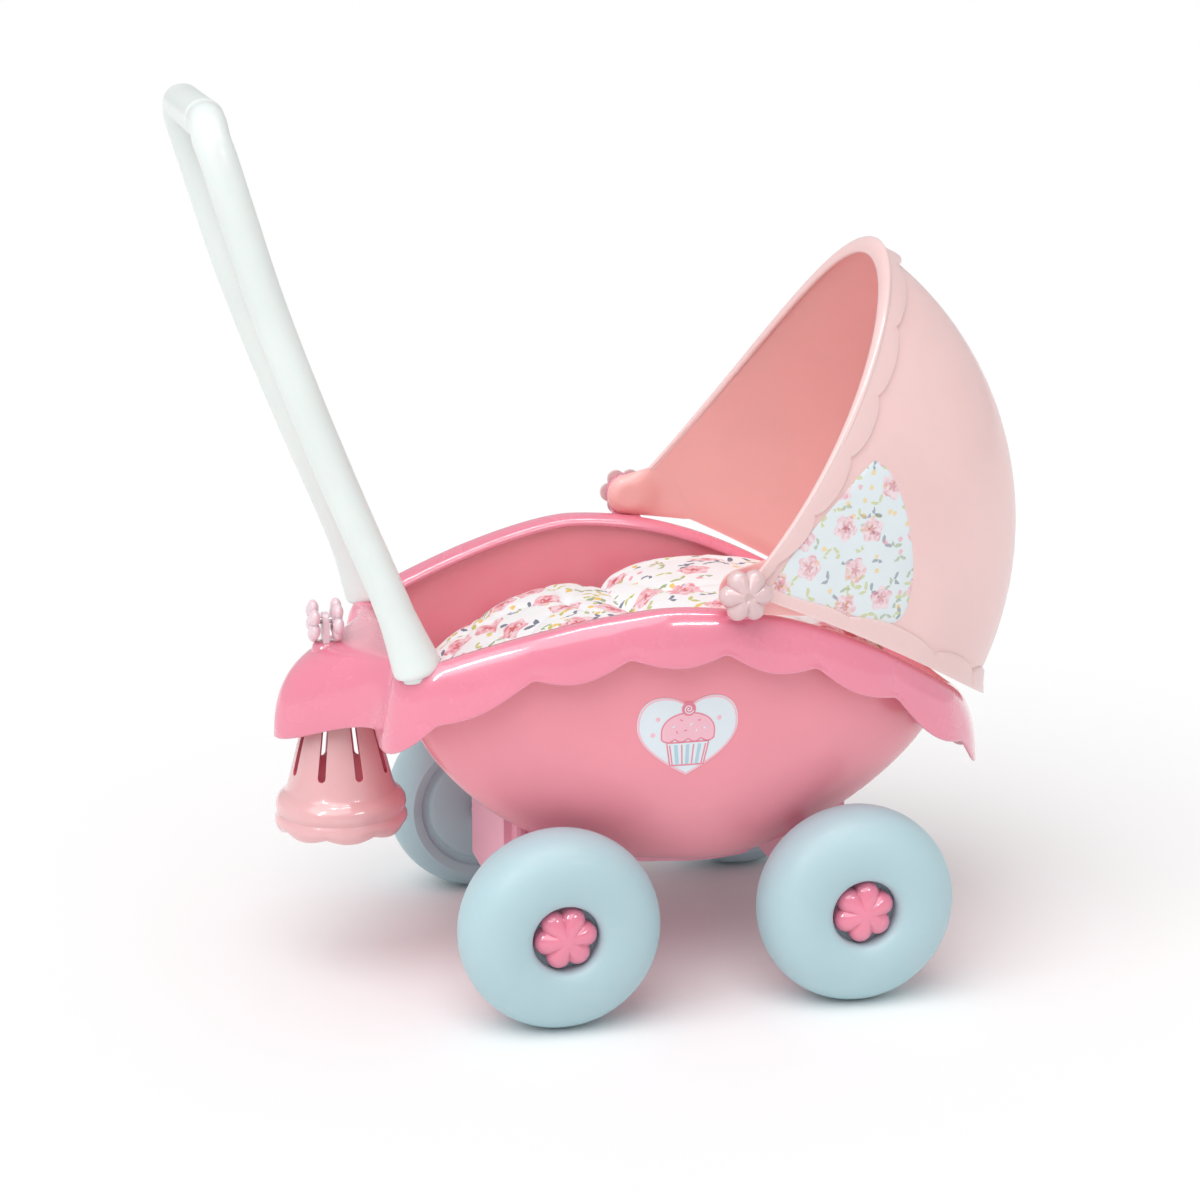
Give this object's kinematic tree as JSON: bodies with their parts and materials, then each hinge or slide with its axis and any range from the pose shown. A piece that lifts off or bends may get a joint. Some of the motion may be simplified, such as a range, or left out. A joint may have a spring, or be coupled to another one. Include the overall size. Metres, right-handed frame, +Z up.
{
  "type": "toy doll pram",
  "caption": "Boat-shaped toy doll pram with scalloped rim, tilting hood, push handle, fat wheels, hanging bell, spinning flower and bedding.",
  "frame": {"origin": "on the floor, under the middle of the pram's bounding box", "axes": "+Z up, +X from the handle end to the hood end, +Y to the pram's left"},
  "size_m": [0.4706, 0.276, 0.4915],
  "materials": {
    "tub_coral": "satin moulded plastic, coral pink",
    "rim_pink": "glossy moulded plastic, candy pink",
    "wheel_aqua": "soft satin plastic, pale aqua",
    "hub_pink": "high gloss plastic, pink",
    "steel": "plain bright steel",
    "handle_white": "satin plastic, white with a mint tint",
    "hood_pale_pink": "satin plastic, pale blush pink, coral inside",
    "knob_pink": "satin plastic, pale blush pink",
    "bell_pink": "slightly see-through plastic, pale pink",
    "printed_sheet": "printed label film, white with small printed motifs",
    "printed_fabric": "woven cotton, white with a rose and leaf print"
  },
  "bodies": {
    "pram_body": {"tub_shell": "tub_coral", "rim_skirt": "rim_pink", "base_plate": "rim_pink", "axle_bracket_rear": "rim_pink", "axle_rear": "steel", "axle_cap_rear_left": "steel", "axle_cap_rear_right": "steel", "axle_bracket_front": "rim_pink", "axle_front": "steel", "axle_cap_front_left": "steel", "axle_cap_front_right": "steel", "bracket_screw_1": "steel", "bracket_screw_2": "steel", "bracket_screw_3": "steel", "bracket_screw_4": "steel", "handle_arm_left": "handle_white", "handle_screw_left": "steel", "heart_sticker_left": "printed_sheet", "handle_arm_right": "handle_white", "handle_screw_right": "steel", "heart_sticker_right": "printed_sheet", "handle_grip": "handle_white", "bell_cage": "bell_pink", "bell_screw": "steel", "deck_post": "rim_pink", "mattress": "printed_fabric", "blanket": "printed_fabric", "pillow": "printed_fabric"},
    "hood": {"hood_shell": "hood_pale_pink", "hood_panel_left": "printed_sheet", "hood_panel_right": "printed_sheet", "hood_knob_left": "knob_pink", "hood_knob_right": "knob_pink", "hood_pin_left": "steel", "hood_pin_right": "steel"},
    "wheel_rear_left_body": {"wheel_rear_left": "wheel_aqua", "wheel_cover_rear_left": "wheel_aqua", "hub_flower_rear_left": "hub_pink"},
    "wheel_rear_right_body": {"wheel_rear_right": "wheel_aqua", "wheel_cover_rear_right": "wheel_aqua", "hub_flower_rear_right": "hub_pink"},
    "wheel_front_left_body": {"wheel_front_left": "wheel_aqua", "wheel_cover_front_left": "wheel_aqua", "hub_flower_front_left": "hub_pink"},
    "wheel_front_right_body": {"wheel_front_right": "wheel_aqua", "wheel_cover_front_right": "wheel_aqua", "hub_flower_front_right": "hub_pink"},
    "deck_flower": {"deck_flower_front": "knob_pink", "deck_flower_rear": "knob_pink", "deck_flower_shaft": "steel"}
  },
  "joints": [
    {"name": "hood_tilt", "type": "hinge", "parent": "pram_body", "child": "hood", "pos_m": [0.03883, 0, 0.237], "axis": [0, -1, 0], "range_deg": [0, 80]},
    {"name": "wheel_spin_rear_left", "type": "hinge", "parent": "pram_body", "child": "wheel_rear_left_body", "pos_m": [-0.05757, 0.112, 0.055], "axis": [0, 1, 0], "continuous": true},
    {"name": "wheel_spin_rear_right", "type": "hinge", "parent": "pram_body", "child": "wheel_rear_right_body", "pos_m": [-0.05757, -0.112, 0.055], "axis": [0, 1, 0], "continuous": true},
    {"name": "wheel_spin_front_left", "type": "hinge", "parent": "pram_body", "child": "wheel_front_left_body", "pos_m": [0.10843, 0.112, 0.055], "axis": [0, 1, 0], "continuous": true},
    {"name": "wheel_spin_front_right", "type": "hinge", "parent": "pram_body", "child": "wheel_front_right_body", "pos_m": [0.10843, -0.112, 0.055], "axis": [0, 1, 0], "continuous": true},
    {"name": "deck_flower_spin", "type": "hinge", "parent": "pram_body", "child": "deck_flower", "pos_m": [-0.16357, 0, 0.2025], "axis": [1, 0, 0], "continuous": true}
  ]
}
